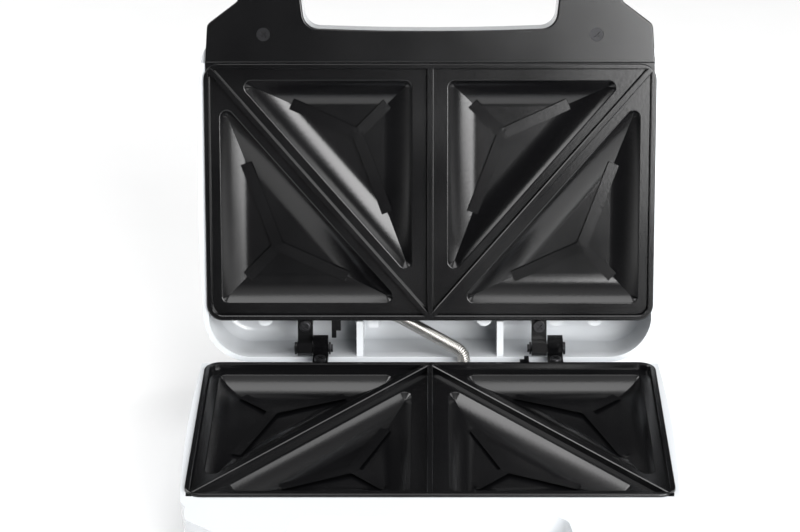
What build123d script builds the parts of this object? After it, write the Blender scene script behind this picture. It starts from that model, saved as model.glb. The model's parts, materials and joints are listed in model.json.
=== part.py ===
from build123d import *
import math
import os

os.makedirs("parts", exist_ok=True)

# Sandwich toaster with a hinged lid, shown open.  Millimetres, +X to the right, +Y to the rear, +Z up.
# Pieces are drawn with the origin on the table, under the centre of the lower cooking plate.  They are
# saved with it under the middle of the whole toaster.
#
# Both halves are drawn in a seat plane of their own: the plane of the cooking plate's rim, with local
# x along the hinge, local y from the handle towards the hinge, and local z out of the half, to the food.

# ---------------------------------------------------------------- driving dimensions

# Stance of the two halves
rim_height = 46.0            # table to the rim of the lower plate
foot_height = 5.0
hinge_setback = 14.0         # rear edge of a plate to the hinge axis
rim_gap = 0.6                # between the two rims when the lid is shut
lid_angle = 105.0            # opening of the lid, as it stands here

# Cooking plates
plate_width = 225.0
plate_depth = 130.0
plate_corner = 8.0
lip_width = 2.6              # raised lip round a plate
rib_width = 2.7              # divider and diagonal ribs
land_drop = 3.0              # rim down to the flat land round each pocket
rib_draft = 10.0             # draft of the lip and ribs, degrees
casting_floor = 3.0          # thickness of the casting under the land
lip_overhang = 1.2           # how far the lip reaches out over the housing
lip_thickness = 1.5          # thickness of that overhang
casting_wall = 2.5           # wall behind a pocket
lip_rounding = 0.7
rib_chamfer = 0.35           # on the inner edges of the lip and on the ribs

# Sandwich pockets: two triangles each side of the divider
land_at_divider = 7.6
land_at_ends = 6.0           # front and rear
land_at_sides = 5.1
land_at_diagonal = 6.1       # measured from the middle of the diagonal rib
pocket_corner = 3.5          # rounding of a pocket's rim, seen from above
pocket_depth = 6.4           # land to the flat bottom
pocket_wall_angle = 47.0
cove_radius = 19.0           # hollow between a pocket's wall and its flat bottom
ridge_height = 0.55          # three low ridges run from a pocket's middle towards its corners
ridge_angle = 22.0           # slope of their two sides
ridge_margin = 12.5          # rim of a pocket to where its ridges sink into the bottom
pocket_rounding = 0.7

# Arms, lug and tabs on the back and front edges of a casting
arm_width = 7.6
arm_left = -55.1             # local x of the two arms
arm_right = 63.0
arm_top = -1.2               # face that the screw head sits on, from the rim
arm_bottom = -6.0
arm_screw_setback = 3.0      # rear edge of a plate to the screw in each arm
knuckle_radius = 4.0
stop_height = 7.2            # stop block on each knuckle, above the rim
stop_width = 5.0
pin_radius = 2.0
pin_clearance = 0.05
arm_clearance = 0.3          # between the arms of the two halves
pin_head_radius = 3.2
pin_head_height = 1.2
pin_head_gap = 0.3
clip_thickness = 0.8
lug_x = 45.1
lug_width = 4.6
lug_reach = 5.4
lug_tip_width = 2.3
lug_tip_reach = 9.1
lug_thickness = 4.0
tab_x = 50.0
tab_width = 14.0
tab_reach = 3.5
tab_thickness = 2.5
tab_top = 3.3                # below the rim

# Housings
housing_drop = 1.5           # plate rim down to the white rim
edge_margin = 0.3            # housing past the plate at the corners
side_bulge = 3.2             # extra width half way along the sides
rear_reach = 21.5            # plate rear edge to the outside of the rear wall
rear_corner = 24.0
front_wall = 15.0            # plate front edge to the front wall of the body
front_corner = 16.0
wall = 2.5
flange = 3.0                 # thickness of the top flange that carries the plate
plate_clearance = 0.3
body_draft = 5.0
lid_depth = 41.0             # rim down to the edge of the lid's outer face
lid_rounding = 9.0
lid_crown_radius = 900.0     # gentle arch of the lid's outer face
cover_height = 6.0           # bottom cover of the base
cover_rounding = 4.5
cover_floor = 2.0
deck_drop = 11.5             # plate rim down to the deck behind the lower plate
deck_thickness = 2.5
tower_radius = 4.0
boss_radius = 3.8
tower_y = 65.0               # round towers behind the lid's plate, on lines across the lid
tower_places = (-83.5, -63.8, -27.5, 83.5)
tower_gap = 0.3              # casting to the top of a tower
rib_x = 35.5
rib_thickness = 3.3
rib_drop = 3.0
beam_depth = 8.5             # rim down to the foot of the beam that holds the plate's tabs
beam_front = 69.0
strip_rear = 66.0            # rear face of the wall behind the lower plate
arm_notch = 0.4              # round the arms and the lug where they pass through that wall
tab_play = 0.3
cover_screw_x = 84.0
cover_screw_front = 67.5
cover_screw_rear_x = 70.0
cover_screw_rear = 74.0
vent_length = 30.0
vent_width = 3.0
vent_pitch = 9.0
vent_count = 7

# Handles
root_half = 111.9            # half width where the handle leaves the body
root_front = 60.0            # all of these are measured from the centre of the plate to the front
shoulder_half = 110.2        # half width at the shoulder
shoulder_front = 84.5
shoulder_rounding = 4.0
arm_half = 94.5              # half width of the handle at the foot of the shoulder
arm_front = 96.3
arm_rounding = 5.0
grip_half = 92.0
grip_front = 132.0
grip_corner = 22.0
opening_rear_half = 62.0
opening_rear = 82.6
opening_arch = 1.4           # how far the rear edge of the finger opening bows to the plate
opening_front_half = 65.5
opening_front = 113.0
opening_rear_rounding = 8.0
opening_front_rounding = 10.0
handle_depth = 21.5          # rim down to the outer face of the handle
handle_rounding = 6.0
handle_draft = 3.0
frame_thickness = 3.0        # black frame on the inside of the lid's handle
frame_rounding = 0.8
screw_sink = 0.5             # frame's face down to its screw heads
frame_gap = 0.3              # between the plate and that frame
handle_split = 15.5          # rim down to the cover of the lower handle
part_gap = 0.3               # between loose covers and their housings
frame_screw_x = 82.4
frame_screw_front = 79.5
grip_screw_x = 78.0
grip_screw_front = 121.0
shoulder_screw_x = 84.0
shoulder_screw_front = 90.0

# Latch in the front of the grip
latch_width = 34.0
latch_side_gap = 0.4
latch_slot_depth = 7.0
latch_block_margin = 6.6     # block past the slot at each end
latch_block_rear = 116.0     # from the centre of the plate to the front
latch_pin_radius = 1.5
latch_pin_inset = 3.5        # front face to the latch's pin
latch_pin_drop = 8.0         # rim down to that pin
latch_barrel_radius = 3.0
latch_plate_thickness = 2.4
latch_hook_reach = 2.8
latch_hook_height = 2.4
latch_play = 0.5
catch_inset = 3.2            # front face down to the face of the ledge that the hook takes
catch_drop = 7.5             # rim down to the underside of that ledge
catch_room = 13.0            # rim down to the floor of the recess under it

# Heater, its clamps and the heat shield under each plate
element_radius = 3.25
element_gap = 0.2            # casting to element
element_corner = 16.0
element_end = 14.0           # from the middle to each end of the sheath
element_pin_radius = 1.2
element_pin_length = 8.0
post_radius = 4.0
corner_post_radius = 3.5
centre_post_y = 56.5
corner_post_x = 104.5
corner_post_y = 57.0
clamp_gap = 0.3
clamp_thickness = 1.2
clamp_reach = 20.5
front_clamp_width = 12.0
rear_clamp_width = 44.0
shield_thickness = 0.8
shield_margin = 4.5
shield_corner = 6.0
sensor_radius = 9.0
cutout_radius = 8.0
sensor_drop = 17.5           # rim down to the flat seat of the thermostat
sensor_height = 7.0
sensor_gap = 3.0
terminal_thickness = 1.2
terminal_width = 2.4
terminal_length = 3.5

# Screws
screw_radius = 1.5
screw_clearance = 0.05
pan_head_radius = 2.9
pan_head_height = 2.0
cross_width = 0.8
cross_length = 3.6
cross_depth = 1.0
flat_head_radius = 3.4
flat_head_height = 1.7
head_taper = 45.0
screw_length = 9.0
long_screw = 12.0
screw_room = 0.5             # hole past the end of a long screw

# Feet, cord gland, terminal block and lamps
foot_radius = 7.0
foot_inset_x = 26.0
foot_front_y = 55.0
foot_rear_y = 71.0
foot_stem_radius = 2.4
foot_stem_height = 4.0
foot_rounding = 1.0
gland_x = -45.0
gland_z = 21.0
gland_bore = 3.5
gland_body = 5.5
gland_flange = 8.0
gland_flange_thickness = 2.5
gland_pad_radius = 9.5
gland_inner_length = 4.0
terminal_x = 17.0
terminal_y = 71.0
terminal_ways = 3
terminal_size_x = 26.0
terminal_size_y = 13.0
terminal_height = 15.0
lamp_x = 12.0
lamp_y = 62.0                # from the centre of the plate to the front
lens_radius = 4.0
lens_proud = 1.2
lens_flange_radius = 5.4
lens_flange_thickness = 1.2
lamp_radius = 2.4
lamp_length = 8.0
holder_length = 46.0
holder_width = 12.0
holder_thickness = 2.0
holder_drop = 6.5            # lid's outer panel to the lamp holder
holder_post_radius = 2.5

# Sprung conduit that carries the lid's leads over the hinge
conduit_radius = 3.2
conduit_wire = 0.8
conduit_turns = 40
samples_per_turn = 48          # points of the wire that its least gap is measured at
leads_radius = 2.0
leads_overrun = 2.5
conduit_base_x = 17.0
conduit_base_y = 73.5
conduit_bottom_z = 29.0
conduit_bend_z = 47.0
conduit_lid_x = -18.0
conduit_lid_y = 64.2         # local y and depth in the lid of the conduit's last run
conduit_lid_drop = 12.3
conduit_end_x = -31.0
lower_bend = 12.0
upper_bend = 25.0
clamp_clearance = 0.3
clamp_wall = 2.2
collar_height = 3.5          # clamp on the deck of the base
pillar_length = 5.0          # clamp in the lid, along the hinge
pillar_front = 61.2          # its foot passes behind the heat shield
pillar_waist = 18.0          # rim down to that foot

# ---------------------------------------------------------------- frames of the two halves

front_edge = -plate_depth / 2 - front_wall
hinge_y = plate_depth / 2 + hinge_setback
hinge_z = rim_height + rim_gap / 2
opening = math.radians(lid_angle)
food_dir = Vector(0, -math.sin(opening), -math.cos(opening))
rear_dir = Vector(0, math.cos(opening), -math.sin(opening))
lid_origin = Vector(0, hinge_y, hinge_z) - rear_dir * hinge_y - food_dir * (rim_gap / 2)

base_seat = Plane.XY.offset(rim_height)
lid_seat = Plane(origin=lid_origin, x_dir=(-1, 0, 0), z_dir=food_dir)
halves = {"base": base_seat, "lid": lid_seat}


def across(seat, x):
    """Plane square to the hinge at local x: its own x runs to the rear and its own y to the food."""
    return Plane(origin=seat.from_local_coords((x, 0, 0)), x_dir=seat.y_dir, z_dir=seat.x_dir)


# Half-way between the front of the lower grip and the back of the open lid, which is the rounded edge
# of its outer face.
lid_back = lid_seat.from_local_coords((0, front_edge + lid_rounding, lid_rounding - lid_depth))
middle_y = (lid_back.Y + lid_rounding - grip_front) / 2


def save(part, name):
    """Label a piece and save it, with the origin under the middle of the toaster."""
    moved = part.moved(Location((0, -middle_y, 0)))
    moved.label = name
    export_step(moved, f"parts/{name}.step")


# ---------------------------------------------------------------- pockets

def inset_triangle(corners, margins):
    """Corners of a triangle whose sides, each from a corner to the next, move inwards by the margins."""
    moved = []
    for start, end, margin in zip(corners, corners[1:] + corners[:1], margins):
        along = (end - start).normalized()
        moved.append((start + Vector(-along.Y, along.X) * margin, along))
    result = []
    for (p, u), (q, v) in zip(moved[-1:] + moved[:-1], moved):
        cross = u.X * v.Y - u.Y * v.X
        step = ((q - p).X * v.Y - (q - p).Y * v.X) / cross
        result.append(p + u * step)
    return result


def incentre(corners):
    a, b, c = corners
    sides = [(b - c).length, (c - a).length, (a - b).length]
    total = sum(sides)
    centre = (a * sides[0] + b * sides[1] + c * sides[2]) / total
    area = abs((b - a).cross(c - a).Z) / 2
    return centre, 2 * area / total


wall_slope = math.radians(pocket_wall_angle)
wall_fall = pocket_depth - cove_radius * (1 - math.cos(wall_slope))
wall_run = wall_fall / math.tan(wall_slope)


def pocket_profile(reach, grow, drop, top):
    """Section of a pocket: x inwards from its rim, y up from the plate rim."""
    start = (-grow, -land_drop - drop)
    foot = (wall_run - grow, -land_drop - drop - wall_fall)
    slope = (math.cos(wall_slope), -math.sin(wall_slope))
    with BuildSketch() as profile:
        with BuildLine():
            Line(start, foot)
            cove = JernArc(start=foot, tangent=slope, radius=cove_radius, arc_size=pocket_wall_angle)
            end = cove @ 1
            Polyline(end, (reach, end.Y), (reach, top), (-grow, top), start)
        make_face()
    return profile.sketch


def pocket_sector(seat, ends, centres, middle, reach, grow, drop, top):
    """Part of a pocket along one side, up to the lines from its corner centres to its middle."""
    first, last = ends
    along = (last - first).normalized()
    inward = Vector(-along.Y, along.X)
    inward_dir = seat.from_local_coords(inward) - seat.origin
    section = Plane(seat.from_local_coords(first), x_dir=inward_dir, z_dir=inward_dir.cross(seat.z_dir))
    outline = [first - inward * grow, last - inward * grow, centres[1], middle, centres[0]]
    with BuildPart() as sector:
        with BuildSketch(section):
            add(pocket_profile(reach, grow, drop, top))
        extrude(amount=plate_width, both=True)
        with BuildSketch(seat.offset(top)):
            with BuildLine():
                Polyline(*outline, close=True)
            make_face()
        extrude(amount=-(top + land_drop + drop + pocket_depth + 1), mode=Mode.INTERSECT)
    return sector.part


def pocket_corner_form(seat, last, inward, centre, turn, reach, grow, drop, top):
    """Rounded corner of a pocket: its profile turned about the centre of the corner."""
    inward_dir = seat.from_local_coords(inward) - seat.origin
    section = Plane(seat.from_local_coords(last), x_dir=inward_dir, z_dir=inward_dir.cross(seat.z_dir))
    with BuildPart() as corner:
        with BuildSketch(section):
            add(pocket_profile(reach, grow, drop, top))
            with Locations(((pocket_corner - grow) / 2, 0)):
                Rectangle(pocket_corner + grow, 4 * (pocket_depth + drop), mode=Mode.INTERSECT)
        revolve(axis=Axis(seat.from_local_coords(centre), seat.z_dir), revolution_arc=turn)
    return corner.part


def pocket_form(seat, corners, grow, drop, top):
    """Solid that fills a pocket, or with grow and drop the solid of its back."""
    middle, inradius = incentre(corners)
    reach = inradius + 1
    centres = []
    turns = []
    for before, corner, after in zip(corners[-1:] + corners[:-1], corners, corners[1:] + corners[:1]):
        angle = (before - corner).get_angle(after - corner)
        setback = pocket_corner / math.sin(math.radians(angle / 2))
        centres.append(corner + (middle - corner).normalized() * setback)
        turns.append(180 - angle)
    with BuildPart() as form:
        for i in range(3):
            j = (i + 1) % 3
            along = (corners[j] - corners[i]).normalized()
            inward = Vector(-along.Y, along.X)
            ends = (centres[i] - inward * pocket_corner, centres[j] - inward * pocket_corner)
            add(pocket_sector(seat, ends, (centres[i], centres[j]), middle, reach, grow, drop, top))
            add(pocket_corner_form(seat, ends[1], inward, centres[j], turns[j], reach, grow, drop, top))
    return form.part


def pocket_ridges(seat, corners):
    """Three low ridges on a pocket's bottom, highest where they meet in its middle."""
    middle, inradius = incentre(corners)
    bottom = -land_drop - pocket_depth
    share = 1 - ridge_margin / inradius
    depth = 2 * ridge_height
    half = depth / math.tan(math.radians(ridge_angle))
    with BuildPart() as ridges:
        for corner in corners:
            peak = seat.from_local_coords((middle.X, middle.Y, bottom + ridge_height))
            tip = middle + (corner - middle) * share
            along = seat.from_local_coords((tip.X, tip.Y, bottom)) - peak
            with BuildSketch(Plane(peak, x_dir=along.cross(seat.z_dir), z_dir=along)):
                with BuildLine():
                    Polyline((0, 0), (half, -depth), (-half, -depth), close=True)
                make_face()
            extrude(amount=along.length)
    return ridges.part


cell_side = plate_width / 2 - lip_width
cell_end = plate_depth / 2 - lip_width
cell_inner = rib_width / 2

# The right-hand cell is cut by a diagonal from its outer front corner to its inner rear corner, and the
# left-hand one is its mirror image.  Each triangle's corners run anticlockwise, seen from the food.
outer_front = Vector(cell_side, -cell_end)
outer_rear = Vector(cell_side, cell_end)
inner_front = Vector(cell_inner, -cell_end)
inner_rear = Vector(cell_inner, cell_end)
inner_triangle = [inner_front, outer_front, inner_rear]
outer_triangle = [outer_front, outer_rear, inner_rear]
inner_rim = inset_triangle(inner_triangle, [land_at_ends, land_at_diagonal, land_at_divider])
outer_rim = inset_triangle(outer_triangle, [land_at_sides, land_at_ends, land_at_diagonal])
inner_land = inset_triangle(inner_triangle, [0, rib_width / 2, 0])
outer_land = inset_triangle(outer_triangle, [0, 0, rib_width / 2])

# ---------------------------------------------------------------- sizes that several pieces share

land_level = -land_drop
casting_bottom = -land_drop - casting_floor
pocket_back = -land_drop - pocket_depth - casting_wall
plate_front = -plate_depth / 2
plate_rear = plate_depth / 2
body_side = plate_width / 2 - lip_overhang
body_end = plate_depth / 2 - lip_overhang
arm_screw_y = plate_rear + arm_screw_setback
arms = (arm_left, arm_right)
pin_hole = pin_radius + pin_clearance
screw_hole = screw_radius + screw_clearance

element_level = pocket_back - element_gap - element_radius
cove_foot = wall_run + cove_radius * math.sin(wall_slope)
element_x = cell_side - land_at_sides - cove_foot
element_y = cell_end - land_at_ends - cove_foot
clamp_level = element_level - element_radius - clamp_gap
shield_level = clamp_level - clamp_thickness
shield_bottom = shield_level - shield_thickness
corner_posts = [(-corner_post_x, -corner_post_y), (corner_post_x, -corner_post_y)]
centre_posts = [(0, -centre_post_y), (0, centre_post_y)]
posts = corner_posts + centre_posts
sensor_place = incentre(inner_rim)[0]

edge_x = plate_width / 2 + edge_margin
rear_edge = plate_rear + rear_reach
opening_x = body_side + plate_clearance
opening_y = body_end + plate_clearance
housing_rim = -housing_drop
flange_level = housing_rim - flange
frame_level = -frame_thickness
frame_rear = plate_front - frame_gap
lid_panel = -lid_depth + wall
handle_level = -handle_depth
handle_floor = handle_level + wall
split_level = -handle_split
cover_level = -lid_depth + cover_height
cover_inset = (lid_depth - cover_height - housing_drop) * math.tan(math.radians(body_draft))
floor_level = -lid_depth + cover_floor
deck_level = -deck_drop
deck_bottom = deck_level - deck_thickness
beam_level = -beam_depth
arm_screws = [(x, arm_screw_y) for x in arms]
frame_screws = [(side * x, -y) for side in (-1, 1)
                for x, y in ((frame_screw_x, frame_screw_front), (grip_screw_x, grip_screw_front))]
grip_screws = [(side * x, -y) for side in (-1, 1)
               for x, y in ((shoulder_screw_x, shoulder_screw_front), (grip_screw_x, grip_screw_front))]
cover_screws = [(side * x, y) for side in (-1, 1)
                for x, y in ((cover_screw_x, -cover_screw_front), (cover_screw_rear_x, cover_screw_rear))]



def flat_screws(places, seat_level, direction):
    """Countersunk screws flush with a level; direction is -1 where they go down and 1 where they go up."""
    top = Plane(origin=(0, 0, seat_level), x_dir=(1, 0, 0), z_dir=(0, 0, -direction))
    spots = [(x, -direction * y) for x, y in places]
    with BuildPart() as screws:
        with BuildSketch(top):
            with Locations(*spots):
                Circle(flat_head_radius)
        extrude(amount=-flat_head_height, taper=head_taper)
        with BuildSketch(top):
            with Locations(*spots):
                Circle(screw_radius)
        extrude(amount=-screw_length)
        with BuildSketch(top):
            with Locations(*spots):
                Rectangle(cross_length, cross_width, rotation=45)
                Rectangle(cross_length, cross_width, rotation=-45)
        extrude(amount=-cross_depth, mode=Mode.SUBTRACT)
    return screws.part


def countersinks(places, seat_level, direction):
    """Holes for flat screws."""
    top = Plane(origin=(0, 0, seat_level), x_dir=(1, 0, 0), z_dir=(0, 0, -direction))
    spots = [(x, -direction * y) for x, y in places]
    with BuildPart() as holes:
        with BuildSketch(top):
            with Locations(*spots):
                Circle(flat_head_radius + screw_clearance)
        extrude(amount=-flat_head_height - screw_clearance, taper=head_taper)
        with BuildSketch(top):
            with Locations(*spots):
                Circle(screw_hole)
        extrude(amount=-screw_length)
    return holes.part


def place(part, seat, name):
    """Move a piece drawn with its half's rim in the XY plane onto that half, and save it."""
    with BuildPart(seat) as placed:
        add(part)
    save(placed.part, name)


def slab(xs, ys, levels):
    """Rectangular block between pairs of local x, local y and level."""
    with BuildPart() as block:
        with BuildSketch(Plane.XY.offset(levels[0])):
            with Locations((xs[0], ys[0])):
                Rectangle(xs[1] - xs[0], ys[1] - ys[0], align=(Align.MIN, Align.MIN))
        extrude(amount=levels[1] - levels[0])
    return block.part


def rods(places, radius, top, bottom):
    """Round posts or holes between two levels."""
    with BuildPart() as group:
        with BuildSketch(Plane.XY.offset(top)):
            with Locations(*places):
                Circle(radius)
        extrude(amount=bottom - top)
    return group.part


def cross_rod(y, level, radius, half_length):
    """Round bar along the hinge direction."""
    with BuildPart() as bar:
        with BuildSketch(Plane.YZ):
            with Locations((y, level)):
                Circle(radius)
        extrude(amount=half_length, both=True)
    return bar.part


# ---------------------------------------------------------------- cooking plates

# Both plates are the same casting, drawn here with its rim in the XY plane.
rim_plane = Plane.XY
backs = [pocket_form(rim_plane, rim, casting_wall, casting_wall, casting_bottom + 1)
         for rim in (inner_rim, outer_rim)]
hollows = [pocket_form(rim_plane, rim, 0, 0, land_level + 1) for rim in (inner_rim, outer_rim)]
ridges = [pocket_ridges(rim_plane, rim) for rim in (inner_rim, outer_rim)]

with BuildPart() as casting:
    with BuildSketch(rim_plane):
        RectangleRounded(plate_width, plate_depth, plate_corner)
    extrude(amount=-lip_thickness)
    fillet(casting.faces().sort_by(Axis.Z)[-1].edges(), lip_rounding)
    with BuildSketch(rim_plane.offset(-lip_thickness)):
        RectangleRounded(2 * body_side, 2 * body_end, plate_corner - lip_overhang)
    extrude(amount=casting_bottom + lip_thickness)
    add(backs)
    mirror(backs, about=Plane.YZ)
    # posts for the clamps and the shield, and the flat seat of the thermostat
    with BuildSketch(rim_plane.offset(casting_bottom)):
        with Locations(*centre_posts):
            Circle(post_radius)
    extrude(amount=clamp_level - casting_bottom)
    with BuildSketch(rim_plane.offset(casting_bottom)):
        with Locations(*corner_posts):
            Circle(corner_post_radius)
    extrude(amount=shield_level - casting_bottom)
    with BuildSketch(rim_plane.offset(casting_bottom)):
        with Locations(sensor_place):
            Circle(sensor_radius)
    extrude(amount=-sensor_drop - casting_bottom)
    # flat lands between the ribs, and the pockets in them
    for land in (inner_land, outer_land):
        with BuildSketch(rim_plane) as land_sketch:
            Polygon(*land, align=None)
            if land is outer_land:
                fillet(land_sketch.vertices().sort_by_distance(outer_rear)[0], plate_corner - lip_width)
            mirror(about=Plane.YZ)
        extrude(amount=-land_drop, taper=rib_draft, mode=Mode.SUBTRACT)
        with BuildSketch(rim_plane):
            add(land_sketch.sketch)
            offset(amount=rib_chamfer, kind=Kind.INTERSECTION)
        extrude(amount=-rib_chamfer, taper=45, mode=Mode.SUBTRACT)
    add(hollows, mode=Mode.SUBTRACT)
    mirror(hollows, about=Plane.YZ, mode=Mode.SUBTRACT)
    lands = [face for face in casting.faces().filter_by(Axis.Z)
             if abs(face.center().Z - land_level) < 0.01 and face.inner_wires()]
    fillet([edge for land in lands for rim in land.inner_wires() for edge in rim.edges()], pocket_rounding)
    add(ridges)
    mirror(ridges, about=Plane.YZ)
    # arms with their knuckles and stop blocks
    for x in arms:
        with BuildSketch(across(rim_plane, x - arm_width / 2)):
            with BuildLine():
                Polyline((body_end - 1, arm_bottom), (hinge_y, -knuckle_radius), (hinge_y, arm_top),
                         (body_end - 1, arm_top), close=True)
            make_face()
            with Locations((hinge_y, rim_gap / 2)):
                Circle(knuckle_radius)
            with Locations((hinge_y - knuckle_radius, 0)):
                Rectangle(stop_width, stop_height, align=(Align.MIN, Align.MIN))
        extrude(amount=arm_width)
    with BuildSketch(across(rim_plane, arm_left - arm_width)):
        with Locations((hinge_y, rim_gap / 2)):
            Circle(pin_hole)
    extrude(amount=arm_right - arm_left + 2 * arm_width, mode=Mode.SUBTRACT)
    # stepped lug on the rear edge and tabs on the front edge
    with BuildSketch(rim_plane.offset(-lip_thickness - lug_thickness)):
        with Locations((lug_x, body_end - 1)):
            Rectangle(lug_width, lip_overhang + 1 + lug_reach, align=(Align.MIN, Align.MIN))
        with Locations((lug_x + lug_width - lug_tip_width, body_end - 1)):
            Rectangle(lug_tip_width, lip_overhang + 1 + lug_tip_reach, align=(Align.MIN, Align.MIN))
    extrude(amount=lug_thickness)
    with BuildSketch(rim_plane.offset(-tab_top)):
        with Locations((-tab_x, -body_end + 1), (tab_x, -body_end + 1)):
            Rectangle(tab_width, lip_overhang + 1 + tab_reach, align=(Align.CENTER, Align.MAX))
    extrude(amount=-tab_thickness)
    # screw holes through the arms and up into the posts
    with BuildSketch(rim_plane.offset(arm_top)):
        with Locations(*[(x, arm_screw_y) for x in arms]):
            Circle(screw_hole)
    extrude(amount=arm_bottom - arm_top, both=True, mode=Mode.SUBTRACT)
    with BuildSketch(rim_plane.offset(shield_level)):
        with Locations(*posts):
            Circle(screw_hole)
    extrude(amount=screw_length, mode=Mode.SUBTRACT)

for half, seat in halves.items():
    with BuildPart(seat) as plate:
        add(casting.part)
    save(plate.part, f"{half}_plate")

# ---------------------------------------------------------------- heaters and shields

for half, seat in halves.items():
    with BuildPart() as element:
        with BuildLine(seat.offset(element_level)) as sheath:
            FilletPolyline((-element_end, element_y), (-element_x, element_y), (-element_x, -element_y),
                           (element_x, -element_y), (element_x, element_y), (element_end, element_y),
                           radius=element_corner)
        with BuildSketch(Plane(sheath.line @ 0, z_dir=sheath.line % 0)):
            Circle(element_radius)
        sweep()
        for side in (-1, 1):
            with BuildSketch(across(seat, side * element_end)):
                with Locations((element_y, element_level)):
                    Circle(element_pin_radius)
            extrude(amount=-side * element_pin_length)
    save(element.part, f"{half}_element")

    # straps on the two centre posts hold the element up to the casting
    with BuildPart() as clamps:
        for y, width in ((-centre_post_y, front_clamp_width), (centre_post_y, rear_clamp_width)):
            inwards = -math.copysign(1, y)
            with BuildSketch(seat.offset(clamp_level)):
                with Locations((0, y + inwards * (clamp_reach / 2 - post_radius))):
                    RectangleRounded(width, clamp_reach, 2)
                with Locations((0, y)):
                    Circle(screw_hole, mode=Mode.SUBTRACT)
            extrude(amount=-clamp_thickness)
    save(clamps.part, f"{half}_element_clamps")

    with BuildPart() as shield:
        with BuildSketch(seat.offset(shield_level)):
            RectangleRounded(plate_width - 2 * shield_margin, plate_depth - 2 * shield_margin, shield_corner)
            with Locations(*posts):
                Circle(screw_hole, mode=Mode.SUBTRACT)
            with Locations(sensor_place):
                Circle(sensor_radius + sensor_gap, mode=Mode.SUBTRACT)
        extrude(amount=-shield_thickness)
    save(shield.part, f"{half}_heat_shield")

    with BuildPart() as shield_screws:
        with BuildSketch(seat.offset(shield_bottom)):
            with Locations(*posts):
                Circle(pan_head_radius)
        extrude(amount=-pan_head_height)
        with BuildSketch(seat.offset(shield_bottom)):
            with Locations(*posts):
                Circle(screw_radius)
        extrude(amount=screw_length - 1)
    save(shield_screws.part, f"{half}_shield_screws")

    with BuildPart() as plate_screws:
        with BuildSketch(seat.offset(arm_top)):
            with Locations(*[(x, arm_screw_y) for x in arms]):
                Circle(pan_head_radius)
        extrude(amount=pan_head_height)
        fillet(plate_screws.faces().sort_by(Axis(seat.origin, seat.z_dir))[-1].edges(), pan_head_height / 2)
        with BuildSketch(seat.offset(arm_top + pan_head_height)):
            with Locations(*[(x, arm_screw_y) for x in arms]):
                Rectangle(cross_length, cross_width, rotation=45)
                Rectangle(cross_length, cross_width, rotation=-45)
        extrude(amount=-cross_depth, mode=Mode.SUBTRACT)
        with BuildSketch(seat.offset(arm_top)):
            with Locations(*[(x, arm_screw_y) for x in arms]):
                Circle(screw_radius)
        extrude(amount=-long_screw)
    save(plate_screws.part, f"{half}_plate_screws")

# The lid's thermostat and the base's thermal cut-out sit on the flat seats of the castings.
sensors = {"thermal_cutout": (base_seat, cutout_radius), "thermostat": (lid_seat, sensor_radius)}
for name, (seat, radius) in sensors.items():
    with BuildPart() as sensor:
        with BuildSketch(seat.offset(-sensor_drop)):
            with Locations(sensor_place):
                Circle(radius)
        extrude(amount=-sensor_height)
        with BuildSketch(seat.offset(-sensor_drop - sensor_height)):
            with Locations(sensor_place):
                with GridLocations(radius, 0, 2, 1):
                    Rectangle(terminal_thickness, terminal_width)
        extrude(amount=-terminal_length)
    save(sensor.part, name)

# ---------------------------------------------------------------- outlines of the housings

def body_outline(inset):
    """Outline of a half's body, moved inwards."""
    with BuildSketch() as outline:
        with BuildLine():
            Line((-edge_x, rear_edge), (edge_x, rear_edge))
            ThreePointArc((edge_x, rear_edge), (edge_x + side_bulge, 0), (edge_x, front_edge))
            Line((edge_x, front_edge), (-edge_x, front_edge))
            ThreePointArc((-edge_x, front_edge), (-edge_x - side_bulge, 0), (-edge_x, rear_edge))
        make_face()
        fillet(outline.vertices().group_by(Axis.Y)[-1], rear_corner)
        fillet(outline.vertices().group_by(Axis.Y)[0], front_corner)
        if inset:
            offset(amount=-inset)
    return outline.sketch


def handle_outline(inset):
    """Outline of a handle with its shoulders, moved inwards."""
    with BuildSketch() as outline:
        with BuildLine():
            Polyline((-root_half, -root_front), (-shoulder_half, -shoulder_front), (-arm_half, -arm_front),
                     (-grip_half, -grip_front), (grip_half, -grip_front), (arm_half, -arm_front),
                     (shoulder_half, -shoulder_front), (root_half, -root_front), close=True)
        make_face()
        for front, radius in ((grip_front, grip_corner), (arm_front, arm_rounding),
                              (shoulder_front, shoulder_rounding)):
            fillet(outline.vertices().filter_by_position(Axis.Y, -front - 0.1, -front + 0.1), radius)
        if inset:
            offset(amount=-inset)
    return outline.sketch


def finger_opening(grow):
    """Outline of the opening between a handle and its body, moved outwards."""
    with BuildSketch() as outline:
        with BuildLine():
            ThreePointArc((-opening_rear_half, -opening_rear), (0, opening_arch - opening_rear),
                          (opening_rear_half, -opening_rear))
            Polyline((opening_rear_half, -opening_rear), (opening_front_half, -opening_front),
                     (-opening_front_half, -opening_front), (-opening_rear_half, -opening_rear))
        make_face()
        fillet(outline.vertices().group_by(Axis.Y)[-1], opening_rear_rounding)
        fillet(outline.vertices().group_by(Axis.Y)[0], opening_front_rounding)
        if grow:
            offset(amount=grow)
    return outline.sketch


def body_form(inset, bottom):
    """Drafted body of a half from its rim down."""
    with BuildPart() as form:
        with BuildSketch(Plane.XY.offset(housing_rim)):
            add(body_outline(inset))
        extrude(amount=bottom - housing_rim)
        sides = [face for face in form.faces() if abs(face.normal_at(face.center()).Z) < 0.1]
        draft(sides, Plane.XY.offset(housing_rim), -body_draft)
    return form.part


def handle_form(top, rounding):
    """Handle from a level down to its outer face, with that face's edge rounded."""
    with BuildPart() as form:
        with BuildSketch(Plane.XY.offset(top)):
            add(handle_outline(0))
        extrude(amount=handle_level - top, taper=handle_draft)
        fillet(form.faces().sort_by(Axis.Z)[0].edges(), rounding)
    return form.part


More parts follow.
